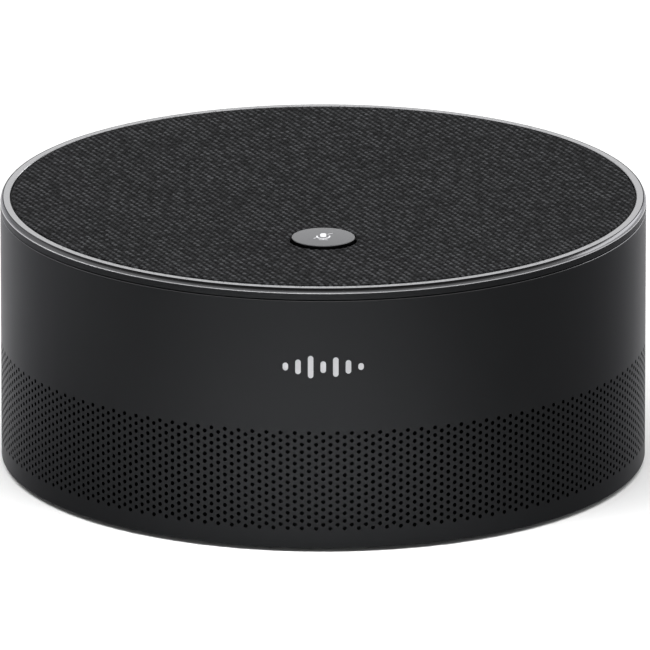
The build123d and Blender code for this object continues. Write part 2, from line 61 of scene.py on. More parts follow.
BODY_R = SHELL_HI.x / MM
SHELL_Z0, SEAM_Z = SHELL_LO.z / MM, SHELL_HI.z / MM
RING_TOP_Z = RING_HI.z / MM
CLOTH_R, CLOTH_BACK_Z, CLOTH_Z = CLOTH_HI.x / MM, CLOTH_LO.z / MM, CLOTH_HI.z / MM
BUTTON_X, BUTTON_Y = (CAP_LO.x + CAP_HI.x) / 2 / MM, (CAP_LO.y + CAP_HI.y) / 2 / MM
CAP_Z0, BUTTON_TOP_Z = CAP_LO.z / MM, CAP_HI.z / MM
MARK_Z = (MARK_LO.z + MARK_HI.z) / 2 / MM

WALL = 1.6
SKIN = 0.03                  # the shell stays this far inside the CAD's, which leaves room for the print
SEGMENTS = 576               # round the body: two for each column of holes
SMOOTH_ANGLE = math.radians(34)
FILLET_TURNS = (math.radians(30), math.radians(60), math.radians(90))    # the points of a small quarter round

# the cloth's threads: each axis gives one thread a unit, across 0.88 mm and 1.02 mm
THREAD_A = (1.098, -0.294, 0.0)
THREAD_B = (0.254, 0.947, 0.0)
THREAD_FALL = 3.9            # how fast a thread's round top falls away from its middle
# painted light and shade on the cloth: the pits take the near-black colour and the thread crowns the lit
# colour
CLOTH_PIT_SHADE = (0.001, 0.001, 0.0012, 1)
CLOTH_CROWN_LIT = (0.082, 0.0838, 0.0885, 1)


# ---- mesh helpers --------
def make_object(name, verts, faces, smooth=True):
    """A mesh object from points in millimetres, smooth between its sharp edges or flat."""
    mesh = bpy.data.meshes.new(name)
    mesh.from_pydata([(x * MM, y * MM, z * MM) for x, y, z in verts], [], faces)
    mesh.validate()
    mesh.polygons.foreach_set("use_smooth", [smooth] * len(mesh.polygons))
    if smooth:
        mesh.set_sharp_from_angle(angle=SMOOTH_ANGLE)
    obj = bpy.data.objects.new(name, mesh)
    bpy.context.scene.collection.objects.link(obj)
    return obj


def round_corners(corners, steps=4):
    """A closed outline of (x, y, fillet radius) corners, with each fillet as a short arc."""
    outline = []
    for i, (x, y, radius) in enumerate(corners):
        here = Vector((x, y))
        if radius == 0:
            outline.append((x, y))
            continue
        before = (Vector(corners[i - 1][:2]) - here).normalized()
        after = (Vector(corners[(i + 1) % len(corners)][:2]) - here).normalized()
        half = before.angle(after) / 2
        centre = here + (before + after).normalized() * (radius / math.sin(half))
        start = here + before * (radius / math.tan(half)) - centre
        end = here + after * (radius / math.tan(half)) - centre
        sweep = start.angle_signed(end)
        for k in range(steps + 1):
            a = -sweep * k / steps
            c, s = math.cos(a), math.sin(a)
            outline.append((
                centre.x + c * start.x - s * start.y,
                centre.y + s * start.x + c * start.y,
            ))
    return outline


def lathe(name, outline, segments, at=(0.0, 0.0)):
    """Turns a closed (radius, height) outline round a vertical axis. A point at radius 0 is a pole."""
    verts, rows = [], []
    for r, z in outline:
        if r < 1e-6:
            rows.append([len(verts)] * segments)
            verts.append((at[0], at[1], z))
            continue
        rows.append(list(range(len(verts), len(verts) + segments)))
        for s in range(segments):
            a = 2 * math.pi * s / segments
            verts.append((at[0] + r * math.cos(a), at[1] + r * math.sin(a), z))
    faces = []
    for lower, upper in zip(rows, rows[1:] + rows[:1]):
        for s in range(segments):
            t = (s + 1) % segments
            ring = [lower[s], lower[t], upper[t], upper[s]]
            face = [v for i, v in enumerate(ring) if v not in ring[:i]]
            if len(face) > 2:
                faces.append(face)
    return make_object(name, verts, faces)


def face_outwards(obj):
    """Turns every face of a closed mesh outwards."""
    bm = bmesh.new()
    bm.from_mesh(obj.data)
    bmesh.ops.recalc_face_normals(bm, faces=bm.faces)
    bm.to_mesh(obj.data)
    bm.free()


def read(items, key, width=1, kind=float):
    """An array of one value, or of one vector of that width, for each of a mesh's items."""
    values = np.zeros(len(items) * width, kind)
    items.foreach_get(key, values)
    return values.reshape(-1, width) if width > 1 else values


def paint(obj, *materials):
    """Gives an object these materials and no others."""
    obj.data.materials.clear()
    for material in materials:
        obj.data.materials.append(material)


# ---- shader helpers --------
class Nodes:
    """A short way to write a node material."""

    def __init__(self, name):
        self.material = bpy.data.materials.new(name)
        self.material.use_nodes = True
        self.tree = self.material.node_tree
        self.bsdf = self.tree.nodes["Principled BSDF"]
        coords = self.tree.nodes.new("ShaderNodeTexCoord")
        self.place = coords.outputs["Object"]

    def add(self, kind, inputs=(), **settings):
        node = self.tree.nodes.new("ShaderNode" + kind)
        for key, value in settings.items():
            setattr(node, key, value)
        for key, value in dict(inputs).items():
            self.feed(node.inputs[key], value)
        return node

    def feed(self, socket, value):
        if isinstance(value, bpy.types.NodeSocket):
            self.tree.links.new(value, socket)
        else:
            socket.default_value = value

    def math(self, operation, *values):
        node = self.add("Math", operation=operation)
        for i, value in enumerate(values):
            self.feed(node.inputs[i], value)
        return node.outputs[0]

    def noise(self, scale, detail=3.0, rough=0.5, place=None):
        inputs = {"Vector": place or self.place, "Scale": scale, "Detail": detail, "Roughness": rough}
        return self.add("TexNoise", inputs).outputs["Fac"]

    def spread(self, value, low, high, out_low, out_high):
        inputs = {"Value": value, "From Min": low, "From Max": high, "To Min": out_low, "To Max": out_high}
        return self.add("MapRange", inputs).outputs["Result"]

    def blend(self, factor, one, two):
        node = self.add("Mix", data_type="RGBA")
        self.feed(node.inputs[0], factor)
        self.feed(node.inputs[6], one)
        self.feed(node.inputs[7], two)
        return node.outputs[2]

    def bump(self, height, distance):
        return self.add("Bump", {"Height": height, "Distance": distance, "Strength": 1.0}).outputs["Normal"]

    def vector(self, operation, one, two=(0.0, 0.0, 0.0), scale=1.0, result="Vector"):
        return self.add("VectorMath", {0: one, 1: two, 3: scale}, operation=operation).outputs[result]

    def set(self, **values):
        """Feeds the shader's inputs and gives the material back."""
        for key, value in values.items():
            self.feed(self.bsdf.inputs[key.replace("_", " ")], value)
        return self.material


def grey(level):
    """A grey with a trace of blue."""
    return (level, level, level * 1.03, 1.0)


def shade(colour, factor):
    """A darker or lighter version of a colour."""
    return (colour[0] * factor, colour[1] * factor, colour[2] * factor, 1.0)


def moulded_plastic(name, colour, rough, grain_mm=0.12, depth_mm=0.004, specular=0.5):
    """Fine spark-eroded grain, with a slow drift in tone and gloss."""
    n = Nodes(name)
    grain = n.noise(1 / (grain_mm * MM), 2.0, 0.6)
    drift = n.noise(60.0, 2.0)
    n.set(
        Base_Color=n.blend(n.spread(drift, 0.3, 0.7, 0, 1), shade(colour, 0.92), shade(colour, 1.08)),
        Roughness=n.spread(n.math("ADD", grain, drift), 0.6, 1.4, rough - 0.03, rough + 0.03),
        Normal=n.bump(grain, depth_mm * MM),
    )
    n.bsdf.inputs["Specular IOR Level"].default_value = specular
    return n.material


def bare_metal(name, colour, rough, grain_mm=0.2, brushed=(1.0, 1.0, 1.0)):
    """Rolled, drawn or plated metal; brushed stretches its grain."""
    n = Nodes(name)
    mapped = n.add("Mapping", {"Vector": n.place, "Scale": brushed}).outputs[0]
    lines = n.noise(1 / (grain_mm * MM), 4.0, 0.6, mapped)
    tone = n.noise(90.0, 3.0)
    n.set(
        Base_Color=n.blend(tone, shade(colour, 0.9), shade(colour, 1.1)),
        Roughness=n.spread(lines, 0.3, 0.7, rough - 0.05, rough + 0.05),
        Normal=n.bump(lines, 0.002 * MM),
    )
    n.bsdf.inputs["Metallic"].default_value = 1.0
    return n.material


def soft_rubber(name, colour, rough=0.75):
    """Matt rubber with fine pores and a little dust."""
    n = Nodes(name)
    pores = n.noise(6000.0, 3.0, 0.65)
    dust = n.noise(240.0, 4.0)
    n.set(
        Base_Color=n.blend(n.spread(dust, 0.45, 0.75, 0, 1), shade(colour, 0.95), shade(colour, 1.5)),
        Roughness=n.spread(pores, 0.3, 0.7, rough - 0.06, rough + 0.06),
        Normal=n.bump(pores, 0.01 * MM),
    )
    return n.material


def woven(name, colour, pitch_mm, depth_mm=0.05):
    """A plain fine weave, for the cloths that are hidden inside."""
    n = Nodes(name)
    turns = 2 * math.pi / (pitch_mm * MM)
    split = n.add("SeparateXYZ", {0: n.place})
    around = n.math("SINE", n.math("MULTIPLY", n.math("ADD", split.outputs[0], split.outputs[1]), turns))
    across = n.math("SINE", n.math("MULTIPLY", split.outputs[2], turns))
    cloth = n.math("MULTIPLY", around, across)
    n.set(
        Base_Color=n.blend(n.spread(cloth, -1, 1, 0, 1), shade(colour, 0.6), shade(colour, 1.3)),
        Roughness=n.spread(n.noise(900.0), 0.3, 0.7, 0.85, 0.98),
        Normal=n.bump(cloth, depth_mm * MM),
    )
    return n.material


def circuit_board(name):
    """Solder mask over tracks, with small pads."""
    n = Nodes(name)
    tracks = n.add("TexBrick", {
        "Vector": n.place, "Scale": 320.0, "Mortar Size": 0.06, "Brick Width": 1.6, "Row Height": 0.5,
        "Color1": (0, 0, 0, 1), "Color2": (0.15, 0.15, 0.15, 1), "Mortar": (1, 1, 1, 1),
    }).outputs["Fac"]
    glass = n.noise(2500.0, 2.0)
    mask = n.blend(glass, (0.006, 0.055, 0.022, 1), (0.01, 0.085, 0.035, 1))
    n.set(
        Base_Color=n.blend(tracks, mask, (0.03, 0.17, 0.07, 1)),
        Roughness=n.spread(glass, 0.2, 0.8, 0.28, 0.4),
        Normal=n.bump(tracks, 0.03 * MM),
    )
    return n.material


def clear_resin(name):
    """Cast resin with a slight haze."""
    n = Nodes(name)
    haze = n.noise(1500.0)
    n.set(
        Base_Color=n.blend(haze, (0.78, 0.78, 0.74, 1), (0.9, 0.9, 0.87, 1)),
        Roughness=n.spread(haze, 0.3, 0.7, 0.12, 0.22),
    )
    n.bsdf.inputs["Transmission Weight"].default_value = 0.6
    return n.material


# ---- materials --------
def shell_material():
    """Black anodised satin: metal-like, with its edge gloss held down."""
    n = Nodes("shell_satin_black")
    grain = n.noise(14000.0, 2.0, 0.6)
    drift = n.noise(45.0, 3.0)
    n.set(
        Base_Color=n.blend(drift, (0.0102, 0.0105, 0.011, 1), (0.0122, 0.0125, 0.0131, 1)),
        Roughness=n.spread(n.math("ADD", grain, drift), 0.6, 1.4, 0.34, 0.4),
        Normal=n.bump(grain, 0.0012 * MM),
    )
    n.bsdf.inputs["Metallic"].default_value = 1.0
    n.bsdf.inputs["Specular Tint"].default_value = (0.63, 0.63, 0.64, 1)
    return n.material


def ring_face_material(name, level, edge_tint):
    """Turned and anodised: fine lines run round the ring."""
    n = Nodes(name)
    flat = n.vector("MULTIPLY", n.place, (1.0, 1.0, 0.0))
    radius = n.vector("LENGTH", flat, result="Value")
    turned = n.add("TexNoise", {"W": radius, "Scale": 26000.0, "Detail": 2.0}, noise_dimensions="1D")
    lines = turned.outputs["Fac"]
    bead = n.noise(5200.0, 3.0, 0.6)
    mixed = n.math("ADD", n.math("MULTIPLY", lines, 0.5), n.math("MULTIPLY", bead, 0.5))
    n.set(
        Base_Color=n.blend(n.spread(mixed, 0.35, 0.65, 0, 1), grey(level * 0.95), grey(level * 1.05)),
        Roughness=n.spread(mixed, 0.3, 0.7, 0.17, 0.22),
        Normal=n.bump(mixed, 0.0006 * MM),
    )
    n.bsdf.inputs["Metallic"].default_value = 1.0
    n.bsdf.inputs["Specular Tint"].default_value = grey(edge_tint)
    return n.material


def thread_tops(n, a, b):
    """Heights of the two sets of threads at a point that is a and b threads along."""
    heights = []
    for mine, other, sign in ((a, b, 1.0), (b, a, -1.0)):
        number = n.math("ROUND", mine)
        off = n.math("SUBTRACT", mine, number)
        wave = n.math("COSINE", n.math("MULTIPLY", n.math("ADD", number, other), math.pi))
        fall = n.math("MULTIPLY_ADD", n.math("MULTIPLY", off, off), -THREAD_FALL, 1.0)
        crown = n.math("SQRT", n.math("MAXIMUM", fall, 0.0))
        heights.append(n.math("ADD", n.math("MULTIPLY", wave, sign * 0.5), crown))
    return heights


def thread_fibres(n, spot, on_top):
    """Streaks along each set of threads; on_top picks the set that shows."""
    fibres = []
    size = (0.45 * MM, 0.11 * MM, 0.25 * MM)
    for turn in (-15.0, 75.0):
        place = {"Vector": spot, "Rotation": (0, 0, math.radians(turn)), "Scale": size}
        streaks = n.add("Mapping", place, vector_type="TEXTURE").outputs[0]
        fibres.append(n.noise(1.0, 3.0, 0.65, streaks))
    return n.add("Mix", {0: on_top, 2: fibres[0], 3: fibres[1]}, data_type="FLOAT").outputs[0]


def cloth_material():
    """A plain weave of fuzzy black yarn: threads that pass over and under, fibres along them, pale specks,
    with painted shade down in the pits, painted light on the thread crowns and one set of threads painted
    darker than the other.
    """
    n = Nodes("acoustic_cloth")
    wobble = n.add("TexNoise", {"Vector": n.place, "Scale": 700.0, "Detail": 3.0, "Roughness": 0.6})
    shift = n.vector("SUBTRACT", wobble.outputs["Color"], (0.5, 0.5, 0.5))
    spot = n.vector("ADD", n.place, n.vector("SCALE", shift, scale=0.6 * MM))
    a, b = [n.vector("DOT_PRODUCT", spot, tuple(c / MM for c in axis), result="Value")
            for axis in (THREAD_A, THREAD_B)]
    heights = thread_tops(n, a, b)
    top = n.math("MAXIMUM", *heights)
    on_top = n.spread(n.math("SUBTRACT", *heights), -0.1, 0.1, 0.0, 1.0)
    fibre = thread_fibres(n, spot, on_top)
    slub = n.noise(1300.0, 3.0, 0.7)
    patch = n.noise(70.0, 3.0)
    crossing = n.add("CombineXYZ", {0: n.math("ROUND", a), 1: n.math("ROUND", b)}).outputs[0]
    chance = n.add("TexWhiteNoise", {"Vector": crossing}, noise_dimensions="3D").outputs["Value"]
    # painted light and shade: the tone rises with the weave's height, near black in the pits and lit on the
    # crowns and the diagonal ribs
    depth = n.math("POWER", n.spread(top, 0.5, 1.4, 0.0, 1.0), 1.3)
    # painted shade: threads of the first set are drawn darker where they float on top, as the shaded side of
    # threads lying across the light
    weft = n.math("SUBTRACT", 1.0, n.math("MULTIPLY", on_top, 0.72))
    tuft = n.math("MULTIPLY", n.spread(chance, 0, 1, 0.3, 1.3), n.spread(fibre, 0.3, 0.7, 0.35, 1.35))
    speck = n.spread(slub, 0.52, 0.72, 0.75, 1.6)
    slant = n.math("COSINE", n.math("MULTIPLY", n.math("ADD", a, b), math.pi))
    rib = n.math("POWER", n.spread(slant, 0.9, -1.0, 0.0, 1.0), 1.4)
    floats = n.math("MULTIPLY", n.math("MULTIPLY", depth, weft), 0.45)
    body = n.math("ADD", floats, n.math("MULTIPLY", rib, n.spread(depth, 0.0, 1.0, 0.2, 0.55)))
    light = n.math("MULTIPLY", body, n.math("MULTIPLY", tuft, speck))
    tone = n.math("MULTIPLY", light, n.spread(patch, 0.35, 0.65, 1.08, 0.92))
    n.set(
        Base_Color=n.blend(tone, CLOTH_PIT_SHADE, CLOTH_CROWN_LIT),
        Roughness=n.spread(fibre, 0.2, 0.8, 0.88, 1.0),
        Normal=n.bump(n.math("ADD", top, n.math("MULTIPLY", fibre, 0.7)), 0.12 * MM),
    )
    n.bsdf.inputs["Sheen Weight"].default_value = 0.05
    n.bsdf.inputs["Specular IOR Level"].default_value = 0.0
    return n.material


def fibre_material():
    """The yarn's loose ends, a little paler than the cloth."""
    n = Nodes("cloth_fibre")
    n.set(
        Base_Color=n.blend(n.noise(3000.0), (0.035, 0.035, 0.037, 1), (0.1, 0.1, 0.105, 1)),
        Roughness=n.spread(n.noise(5000.0), 0.3, 0.7, 0.7, 0.9),
    )
    return n.material


def button_material():
    """Satin grey plastic."""
    n = Nodes("button_satin_grey")
    grain = n.noise(9000.0, 3.0, 0.6)
    n.set(
        Base_Color=n.blend(grain, (0.122, 0.123, 0.128, 1), (0.14, 0.141, 0.147, 1)),
        Roughness=n.spread(grain, 0.3, 0.7, 0.4, 0.5),
        Normal=n.bump(grain, 0.002 * MM),
    )
    return n.material


def print_material(name, level):
    """Screen-printed ink."""
    n = Nodes(name)
    dots = n.noise(16000.0, 2.0)
    n.set(
        Base_Color=n.blend(dots, grey(level * 0.93), grey(level)),
        Roughness=n.spread(dots, 0.3, 0.7, 0.42, 0.55),
        Normal=n.bump(dots, 0.001 * MM),
    )
    return n.material


BLACK = (0.006, 0.0061, 0.0064)
SLOT_LOOKS = {
    "black_plastic": moulded_plastic("black_plastic_grain", BLACK, 0.5, specular=0.3),
    "mesh_cloth": woven("fine_mesh", (0.12, 0.12, 0.124), 0.35),
    "foot_rubber": soft_rubber("foot_rubber_matt", (0.02, 0.02, 0.021)),
    "soft_rubber": soft_rubber("seal_rubber", (0.03, 0.03, 0.032), 0.7),
    "screw_steel": bare_metal("screw_zinc", (0.42, 0.42, 0.43), 0.35),
    "pressed_steel": bare_metal("pressed_steel_nickel", (0.5, 0.5, 0.51), 0.28, 0.3, (1, 6, 1)),
    "board_green": circuit_board("board_solder_mask"),
    "chip_black": moulded_plastic("chip_epoxy", (0.018, 0.018, 0.019), 0.55, 0.2, 0.006),
    "can_aluminium": bare_metal("can_aluminium_drawn", (0.6, 0.6, 0.61), 0.3, 0.25, (1, 1, 8)),
    "led_clear": clear_resin("led_resin"),
    "driver_steel": bare_metal("driver_black_steel", (0.06, 0.06, 0.062), 0.45),
    "magnet": bare_metal("magnet_plated", (0.3, 0.3, 0.31), 0.4),
    "coil_copper": bare_metal("coil_enamelled", (0.62, 0.26, 0.1), 0.3, 0.1, (1, 1, 12)),
    "paper_pulp": woven("paper_pulp_pressed", (0.02, 0.02, 0.02), 0.6, 0.02),
    "lead_jacket": soft_rubber("lead_jacket_soft", (0.2, 0.015, 0.015), 0.5),
    "label_foil": print_material("label_blank", 0.4),
}
SHELL_LOOK = shell_material()
RING_FACE_AND_HIGHLIGHT_LOOK = ring_face_material("ring_turned_face", 0.385, 1.0)
RING_BEVEL_AND_HIGHLIGHT_LOOK = ring_face_material("ring_turned_bevel", 0.15, 0.72)
CLOTH_LOOK = cloth_material()
FIBRE_LOOK = fibre_material()
BUTTON_LOOK = button_material()
MARK_LOOK = print_material("mark_pale_print", 0.27)
ICON_LOOK = print_material("icon_white_print", 0.85)


def dress_cad_nodes():
    """Each carried-over CAD node takes the look of its record slot."""
    for part in frame["record"]["subparts"]:
        look = SLOT_LOOKS.get(part["material_slot"])
        if look:
            paint(frame["nodes"][part["node"]], look)


# ---- perforated shell --------
COLUMNS = 288
ROWS = 26                    # rows of hole centres; each column has every second one
HOLE_R = 0.4
HOLE_RIM = 0.035
HOLE_STEP = 0.793            # height from one row to the next
HOLE_TOP_Z = 24.85
HOLE_SIDES = 16
SHELL_R = BODY_R - SKIN
SHELL_IN = SHELL_R - WALL
FOOT_FILLET = 0.3
FOOT_BAND = 1.2              # of the plain foot, above its fillet
ROWS_OUTSIDE = 6             # rows of faces up the plain wall
ROWS_INSIDE = 4
LIP = 0.14                   # rounded edge at the top of the wall; its faces carry a painted highlight in the paler bevel metal
CUTTER_SPAN = (BODY_R - 8, BODY_R + 4)
PORT_FIT = 0.2               # the port's window is this much larger than its bezel
PORT_CORNER = 2.0
LOCK_WINDOW = (7.0, 3.0, 0.8)        # width, height and corner radius
WALL_LEAN = 0.995            # cosine to the round wall's own normal above which a face counts as wall
# the eight points round a hole's cell, as steps along and up, from the right side anticlockwise
CELL = ((1, 0), (1, 1), (0, 1), (-1, 1), (-1, 0), (-1, -1), (0, -1), (1, -1))


def level_z(level):
    """Height of a row's centres; levels count down from the top row."""
    return HOLE_TOP_Z - HOLE_STEP * level


class Band:
    """The perforated band: welded points on the outside and the inside, and the faces between."""

    def __init__(self):
        self.verts, self.faces, self.known = [], [], {}

    def corner(self, side, around, level):
        """A point of the grid between the holes, made once and then shared."""
        key = (side, around % SEGMENTS, level)
        if key not in self.known:
            radius = SHELL_R if side == "out" else SHELL_IN
            a = math.radians(-90) + 2 * math.pi * key[1] / SEGMENTS
            self.known[key] = len(self.verts)
            self.verts.append((radius * math.cos(a), radius * math.sin(a), level_z(level)))
        return self.known[key]

    def circle(self, column, level, hole_r, radius):
        """The points where a radial pin of radius hole_r meets the cylinder of that radius."""
        a = math.radians(-90) + 2 * math.pi * column / COLUMNS
        first = len(self.verts)
        for i in range(HOLE_SIDES):
            t = 2 * math.pi * i / HOLE_SIDES
            along, up = hole_r * math.cos(t), hole_r * math.sin(t)
            out = math.sqrt(radius * radius - along * along)
            self.verts.append((
                out * math.cos(a) - along * math.sin(a),
                out * math.sin(a) + along * math.cos(a),
                level_z(level) + up,
            ))
        return list(range(first, first + HOLE_SIDES))

    def face(self, side, points):
        self.faces.append(points if side == "out" else points[::-1])

    def hole(self, column, level):
        """One hole through the wall, with its bevelled rim and the cell of wall round it."""
        rim = self.circle(column, level, HOLE_R + HOLE_RIM, SHELL_R)
        mouth = self.circle(column, level, HOLE_R, SHELL_R - HOLE_RIM)
        back = self.circle(column, level, HOLE_R, SHELL_IN)
        for side, ring in (("out", rim), ("in", back)):
            cell = [self.corner(side, 2 * column + dx, level - dz) for dx, dz in CELL]
            for k in range(len(CELL)):
                one, two = cell[k], cell[(k + 1) % len(CELL)]
                a, b, c = (ring[(2 * k + j) % HOLE_SIDES] for j in range(3))
                self.face(side, [one, two, c, b])
                self.face(side, [one, b, a])
        for upper, lower in ((rim, mouth), (mouth, back)):
            for i in range(HOLE_SIDES):
                j = (i + 1) % HOLE_SIDES
                self.faces.append([upper[i], upper[j], lower[j], lower[i]])

    def half_cell(self, column, level):
        """A plain half cell, above or below a column whose holes end half a step early."""
        for side in ("out", "in"):
            for dx in (-1, 0):
                self.face(side, [
                    self.corner(side, 2 * column + dx + i, level + j)
                    for i, j in ((0, 1), (1, 1), (1, 0), (0, 0))
                ])


def plain_wall(rings, closed_ends):
    """The plain wall as rows of points; closed_ends adds the ring of faces that caps it."""
    verts, faces = [], []
    for r, z in rings:
        for s in range(SEGMENTS):
            a = math.radians(-90) + 2 * math.pi * s / SEGMENTS
            verts.append((r * math.cos(a), r * math.sin(a), z))
    last = len(rings) - (0 if closed_ends else 1)
    for i in range(last):
        j = (i + 1) % len(rings)
        for s in range(SEGMENTS):
            t = (s + 1) % SEGMENTS
            faces.append([i * SEGMENTS + s, i * SEGMENTS + t, j * SEGMENTS + t, j * SEGMENTS + s])
    return verts, faces


def window_cutter(name, width, height, radius, z, turn=0.0):
    """A bar with a rounded section through the rear wall, turned round the body's axis."""
    w, h = width / 2, height / 2
    outline = round_corners([(w, -h, radius), (w, h, radius), (-w, h, radius), (-w, -h, radius)], 6)
    c, s = math.cos(turn), math.sin(turn)
    verts = [(x * c - y * s, x * s + y * c, z + up) for y in CUTTER_SPAN for x, up in outline]
    n = len(outline)
    faces = [list(range(n)), list(range(2 * n - 1, n - 1, -1))]
    faces += [[i, n + i, n + (i + 1) % n, (i + 1) % n] for i in range(n)]
    bar = make_object(name, verts, faces, smooth=False)
    face_outwards(bar)
    return bar


def cut(obj, tools):
    """Cuts the tools out of obj for good."""
    for tool in tools:
        step = obj.modifiers.new("cut", "BOOLEAN")
        step.operation, step.solver, step.object = "DIFFERENCE", "EXACT", tool
    graph = bpy.context.evaluated_depsgraph_get()
    mesh = bpy.data.meshes.new_from_object(obj.evaluated_get(graph))
    obj.modifiers.clear()
    obj.data = mesh
    for tool in tools:
        bpy.data.objects.remove(tool)


def upper_wall():
    """The plain wall above the holes, with the two windows at the rear."""
    top, low = SEAM_Z, level_z(-1)
    outside = [(SHELL_R, low + (top - LIP - low) * i / ROWS_OUTSIDE) for i in range(ROWS_OUTSIDE + 1)]
    lip = [(SHELL_R - LIP * (1 - math.cos(a)), top - LIP * (1 - math.sin(a))) for a in FILLET_TURNS]
    inside = [(SHELL_IN, top - (top - low) * i / ROWS_INSIDE) for i in range(ROWS_INSIDE + 1)]
    verts, faces = plain_wall(outside + lip + inside, closed_ends=True)
    wall = make_object("upper_wall", verts, faces)
    face_outwards(wall)
    port_z = (PORT_LO.z + PORT_HI.z) / 2 / MM
    port_w, port_h = (PORT_HI.x - PORT_LO.x) / MM, (PORT_HI.z - PORT_LO.z) / MM
    lock = (LOCK_LO + LOCK_HI) / 2
    lock_turn = math.atan2(-lock.x, lock.y)
    cut(wall, [
        window_cutter("cut_port", port_w + PORT_FIT, port_h + PORT_FIT, PORT_CORNER, port_z),
        window_cutter("cut_slot", *LOCK_WINDOW, port_z, lock_turn),
    ])
    return wall


def lower_wall():
    """The plain foot of the wall, below the holes."""
    low = level_z(ROWS)
    fillet_z = SHELL_Z0 + FOOT_FILLET
    outside = [(SHELL_R, low), (SHELL_R, fillet_z + FOOT_BAND), (SHELL_R, fillet_z)]
    foot = [(SHELL_R - FOOT_FILLET * (1 - math.cos(a)), SHELL_Z0 + FOOT_FILLET * (1 - math.sin(a)))
            for a in FILLET_TURNS]
    inside = [(SHELL_IN, SHELL_Z0), (SHELL_IN, low)]
    verts, faces = plain_wall(outside + foot + inside, closed_ends=False)
    return make_object("lower_wall", verts, faces)


def true_normals(mesh):
    """Sets the wall's normals exactly, so that no hole or window shows as a dent in a reflection."""
    mesh.set_sharp_from_angle(angle=SMOOTH_ANGLE)
    normals = read(mesh.corner_normals, "vector", 3)
    at = read(mesh.vertices, "co", 3)[read(mesh.loops, "vertex_index", kind=np.int64)]
    sizes = read(mesh.polygons, "loop_total", kind=np.int64)
    flat = np.repeat(read(mesh.polygons, "normal", 3), sizes, axis=0)
    out = at * [1, 1, 0]
    out /= np.linalg.norm(out, axis=1, keepdims=True)
    lean = (flat * out).sum(axis=1)
    normals[lean > WALL_LEAN] = out[lean > WALL_LEAN]
    normals[lean < -WALL_LEAN] = -out[lean < -WALL_LEAN]
    mesh.normals_split_custom_set(normals.tolist())


def perforated_shell():
    """The whole shell as one welded mesh: foot, perforated band and plain wall with its rounded lip, which
    carries a painted highlight.
    """
    band = Band()
    for column in range(COLUMNS):
        odd = column % 2
        for level in range(odd, ROWS, 2):
            band.hole(column, level)
        band.half_cell(column, -1 if odd else ROWS - 1)
    parts = [make_object("band", band.verts, band.faces), upper_wall(), lower_wall()]
    bm = bmesh.new()
    for part in parts:
        bm.from_mesh(part.data)
        bpy.data.objects.remove(part)
    joint_z = level_z(-1) * MM
    # the plain wall was closed for the cutting; its lower end opens again to join the band
    caps = [f for f in bm.faces if abs(f.normal.z) > 0.99 and abs(f.calc_center_median().z - joint_z) < 1e-7]
    bmesh.ops.delete(bm, geom=caps, context="FACES")
    bmesh.ops.remove_doubles(bm, verts=bm.verts, dist=2e-7)
    bmesh.ops.recalc_face_normals(bm, faces=bm.faces)
    mesh = bpy.data.meshes.new("shell_perforated")
    bm.to_mesh(mesh)
    bm.free()
    mesh.polygons.foreach_set("use_smooth", [True] * len(mesh.polygons))
    true_normals(mesh)
    shell = bpy.data.objects.new("shell_perforated", mesh)
    bpy.context.scene.collection.objects.link(shell)
    paint(shell, SHELL_LOOK, RING_BEVEL_AND_HIGHLIGHT_LOOK)
    # painted highlight: the lip's sloping faces take the paler bevel metal
    for face in mesh.polygons:
        if face.center.z > (SEAM_Z - LIP) * MM and 0.2 < face.normal.z < 0.95:
            face.material_index = 1
    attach(shell, "housing")
    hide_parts("enclosure_shell")


# ---- front mark --------
MARK_PITCH = 2.5             # from one bar to the next
MARK_FACE_R = BODY_R - 0.005
MARK_ROOT_R = SHELL_R - 0.1


def bar_outline(width, height, steps=10):
    """An upright capsule's outline, as (across, up) points."""
    r = width / 2
    arc = [math.pi * i / steps for i in range(steps + 1)]
    upper = [(r * math.cos(a), height / 2 - r + r * math.sin(a)) for a in arc]
    return upper + [(-x, -y) for x, y in upper]


def front_mark():
    """A printed sound-level mark that follows the round wall; its bars are the CAD inlay's."""
    cad = frame["nodes"]["front_mark"].data
    spots = np.array([v.co for v in cad.vertices]) / MM
    centres = np.round(spots[:, 0] / MARK_PITCH).astype(int)
    verts, faces = [], []
    for bar in sorted(set(centres)):
        mine = spots[centres == bar]
        width, height = np.ptp(mine[:, 0]), np.ptp(mine[:, 2])
        centre = (mine[:, 0].min() + mine[:, 0].max()) / 2
        outline = bar_outline(width, height)
        first, n = len(verts), len(outline)
        for radius in (MARK_FACE_R, MARK_ROOT_R):
            for x, up in outline:
                verts.append((centre + x, -math.sqrt(radius ** 2 - (centre + x) ** 2), MARK_Z + up))
        faces.append([first + i for i in range(n)])
        faces.append([first + n + i for i in reversed(range(n))])
        faces += [[first + i, first + n + i, first + n + (i + 1) % n, first + (i + 1) % n] for i in range(n)]
    mark = make_object("mark_print", verts, faces, smooth=False)
    face_outwards(mark)
    paint(mark, MARK_LOOK)
    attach(mark, "housing")
    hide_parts("front_mark")


# ---- trim ring --------
RING_BORE_R = 63.0           # the opening round the cloth
RING_SPIGOT_R = 61.9         # inside of the spigot that plugs into the shell
RING_LEDGE_Z = 52.6
RING_FOOT_Z = 50.0
RING_FIT = 0.1               # clearance between the spigot and the shell's wall
RING_GAP = 0.15              # open seam between the shell and the ring
RING_LIP = 0.06              # small chamfer at the seam
RING_BREAK = 0.1             # broken edge at the top of the bore
BEVEL_HIGH = 1.0
BEVEL_IN = 0.45
BEVEL_TURN = math.radians(40)
BEVEL_STEPS = 12
PAINTED_HIGHLIGHT_BAND = 0.17           # painted highlight: a band at the bevel's lower edge in the bright face metal, for the reflection of the bright horizon
GROOVE_DEEP = 0.14
GROOVE_AT = (0.01, 0.17, 0.19)       # in from the bevel: the floor's two edges and the far wall's top


